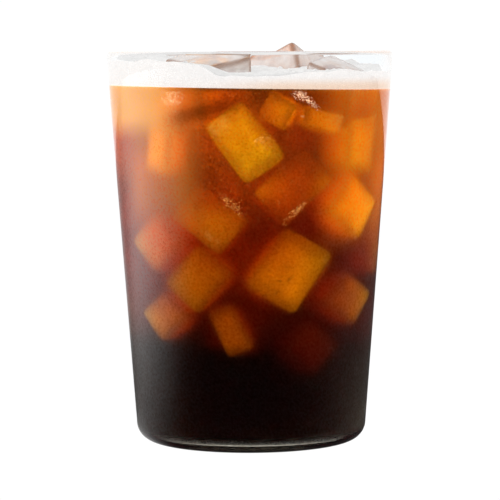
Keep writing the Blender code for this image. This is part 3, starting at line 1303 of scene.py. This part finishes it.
@dataclass
class Flecks:
    """Frost chips, small pits and fine fizz that cling to the inside of the glass; most of them glow as
    painted highlights.
    """

    form: TumblerForm
    clusters: tuple[FleckCluster, ...] = FLECK_CLUSTERS
    inset: float = 0.00006
    sink: float = 0.8
    scatter: float = 0.0002
    spread: float = 0.5
    even_above: int = 300
    below_level: float = 0.0009
    strength: Point = (0.45, 1.15)
    chip_shape: Triple = (1.0, 0.55, 0.62)
    chip_wear: float = 0.22
    wear_scale: float = 1.7

    def chip(self) -> Piece:
        """One small irregular chip, a unit long."""
        deselect_everything()
        bpy.ops.mesh.primitive_ico_sphere_add(subdivisions=1, radius=1.0, location=(0.0, 0.0, 0.0))
        chip = bpy.context.object
        bpy.ops.object.mode_set(mode="EDIT")
        bpy.ops.mesh.select_all(action="SELECT")
        bpy.ops.transform.resize(value=self.chip_shape)
        bpy.ops.object.mode_set(mode="OBJECT")
        for vertex in chip.data.vertices:
            vertex.co += self.chip_wear * noise.noise_vector(vertex.co * self.wear_scale)
        return chip

    def cluster(self, chip: Piece, cluster: FleckCluster, chance: random.Random) -> list[Piece]:
        """The copies that make up one patch, gathered at its middle or, in a large one, spread evenly."""
        copies = []
        lean = math.radians(cluster.lean)
        least, most = cluster.sizes
        for _ in range(cluster.count):
            along, off = (chance.gauss(0.0, self.spread) * reach for reach in cluster.reach)
            if cluster.count > self.even_above:
                along, off = (chance.uniform(-1.0, 1.0) * reach for reach in cluster.reach)
            sideways = along * math.cos(lean) - off * math.sin(lean)
            height = (cluster.height + along * math.sin(lean) + off * math.cos(lean)) * MM
            if height > self.form.drink_level - self.below_level:
                continue
            size = (least + (most - least) * chance.random() ** 2) * MM
            wall = self.form.inner_radius(height) - self.inset
            radius = wall - self.sink * size - self.scatter * chance.random()
            bearing = math.radians(cluster.bearing) + sideways * MM / radius
            place = Matrix.Translation((radius * math.sin(bearing), -radius * math.cos(bearing), height))
            tip = Matrix.Rotation(-lean + chance.gauss(0.0, self.spread), 4, "Y")
            scale = Matrix.Diagonal((size * cluster.stretch, size, size, 1.0))
            copy = copied("fleck", chip, place @ (Matrix.Rotation(bearing, 4, "Z") @ tip) @ scale)
            layer = copy.data.attributes.new("glow", "FLOAT_COLOR", "POINT")
            strength = chance.uniform(*self.strength)
            for point in layer.data:
                point.color = (*[c * strength for c in cluster.glow], 1.0)
            copies.append(copy)
        return copies

    def build(self) -> Piece:
        """Models one chip and sets its copies against the glass in one piece."""
        chance = random.Random(SEED + 1)
        chip = self.chip()
        copies = []
        for cluster in self.clusters:
            copies += self.cluster(chip, cluster, chance)
        discard([chip])
        return joined("glowing_flecks", copies, 60)

    def dress(self, piece: Piece, finish: Finish) -> None:
        """Gives the flecks their finish and their place on the frame."""
        piece.data.materials.append(finish)
        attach(piece, ROOT)


@dataclass
class Studio:
    """The pale floor, the soft light and the camera."""

    lens: float = 182.7
    stand: Triple = (-0.00015, -0.7836, 0.1200)
    pitch: float = 4.477
    roll: float = -0.25
    light: float = 1.02
    floor_radius: float = 1.5
    floor_border: float = 0.4
    floor_drop: float = 0.0002
    aim: Triple = (0.0, 0.0, 0.07)
    bounces: int = 48

    def floor(self) -> None:
        """A plain pale floor, wide enough to run out of sight."""
        deselect_everything()
        bpy.ops.mesh.primitive_circle_add(vertices=96, radius=self.floor_radius, fill_type="NGON",
                                          location=(0.0, 0.0, -self.floor_drop))
        piece = bpy.context.object
        piece.name = "studio_floor"
        bpy.ops.object.mode_set(mode="EDIT")
        bpy.ops.mesh.select_all(action="SELECT")
        bpy.ops.mesh.inset(thickness=self.floor_border, depth=0.0)
        bpy.ops.object.mode_set(mode="OBJECT")
        bpy.ops.object.transform_apply(location=True, rotation=True, scale=True)
        piece.data.materials.append(StudioSurface("studio_white", self.light).build())

    def world(self) -> None:
        """An even white surround."""
        world = bpy.data.worlds.new("studio_surround")
        bpy.context.scene.world = world
        world.use_nodes = True
        nodes, links = world.node_tree.nodes, world.node_tree.links
        nodes.clear()
        surround = nodes.new("ShaderNodeBackground")
        surround.inputs["Color"].default_value = (1.0, 1.0, 1.0, 1.0)
        surround.inputs["Strength"].default_value = self.light
        leave = nodes.new("ShaderNodeOutputWorld")
        links.new(surround.outputs["Background"], leave.inputs["Surface"])

    def softbox(self, name: str, place: Triple, size: Point, power: float) -> None:
        """A large soft light aimed at the drink, unseen by the camera.

        Args:
            name: Name of the light.
            place: Where it stands.
            size: Its width and height.
            power: Its power in watts.
        """
        data = bpy.data.lights.new(name, "AREA")
        data.shape = "RECTANGLE"
        data.size, data.size_y = size
        data.energy = power
        lamp = bpy.data.objects.new(name, data)
        bpy.context.scene.collection.objects.link(lamp)
        aim = (Vector(self.aim) - Vector(place)).to_track_quat("-Z", "Y")
        lamp.matrix_world = Matrix.Translation(place) @ aim.to_matrix().to_4x4()
        lamp.visible_camera = False
        lamp.visible_transmission = False
        lamp.visible_glossy = False

    def camera(self) -> None:
        """The camera at the photograph's angle."""
        data = bpy.data.cameras.new("studio_camera")
        data.lens = self.lens
        data.sensor_width = 36.0
        camera = bpy.data.objects.new("studio_camera", data)
        bpy.context.scene.collection.objects.link(camera)
        tip = Matrix.Rotation(math.radians(90 - self.pitch), 4, "X")
        roll = Matrix.Rotation(math.radians(self.roll), 4, "Z")
        camera.matrix_world = Matrix.Translation(self.stand) @ tip @ roll
        bpy.context.scene.camera = camera

    def build(self) -> None:
        """Sets up the floor, the surround, the lights, the camera and how far light may travel."""
        self.floor()
        self.world()
        self.softbox("left_softbox", (-0.75, -0.35, 0.22), (0.35, 0.60), 10.0)
        self.softbox("right_softbox", (0.80, -0.20, 0.20), (0.20, 0.60), 3.0)
        self.camera()
        scene = bpy.context.scene
        scene.view_settings.view_transform = "Standard"
        scene.cycles.max_bounces = self.bounces
        scene.cycles.transmission_bounces = self.bounces
        scene.cycles.glossy_bounces = 8
        scene.cycles.transparent_max_bounces = 16


def main() -> None:
    """Builds the drink and its studio in order and reports each piece."""
    logging.basicConfig(level=logging.INFO, format="%(name)s: %(message)s")
    form = TumblerForm()
    froth_form = FrothForm()
    effects = SharedEffects()

    Studio().build()
    LOG.info("studio set up")

    tumbler = Tumbler(form)
    glass = tumbler.build()
    tumbler.dress(glass, TumblerGlass().build(effects))
    LOG.info("tumbler: %d faces", len(glass.data.polygons))

    fill = IceFill(IceMould())
    kinds = fill.build()
    sunk_ice = MeltingIce("sunk_ice", clearness=1.0, pale=((0.88, 0.86, 0.86), (0.97, 0.96, 0.96)),
                          roughness=(180.0, 0.28, 0.45))
    fill.dress(kinds, {"surface": MeltingIce().build(effects), "sunk": sunk_ice.build(effects),
                       "hearts": GlowingCloudyIce().build(effects)})
    LOG.info("ice: %s", {kind: len(pieces) for kind, pieces in kinds.items()})

    coffee = Coffee(form)
    drink = coffee.build(fill.rooms + fill.top_rooms)
    coffee.dress(drink, BlackCoffee().build(effects))
    LOG.info("coffee: %d faces", len(drink.data.polygons))

    froth = Froth(form, froth_form)
    head = froth.build(fill.top_rooms)
    finish = FineFroth().build(effects)
    froth.dress(head, finish)
    LOG.info("froth: %d faces", len(head.data.polygons))
    discard(fill.rooms + fill.top_rooms)

    bubbles = FrothBubbles(form, froth_form)
    beads = bubbles.build()
    bubbles.dress(beads, finish)
    LOG.info("bubbles: %d faces", len(beads.data.polygons))

    flecks = Flecks(form)
    frost = flecks.build()
    flecks.dress(frost, GlowingFleck().build(effects))
    LOG.info("flecks: %d faces", len(frost.data.polygons))


if __name__ == "__main__":
    main()
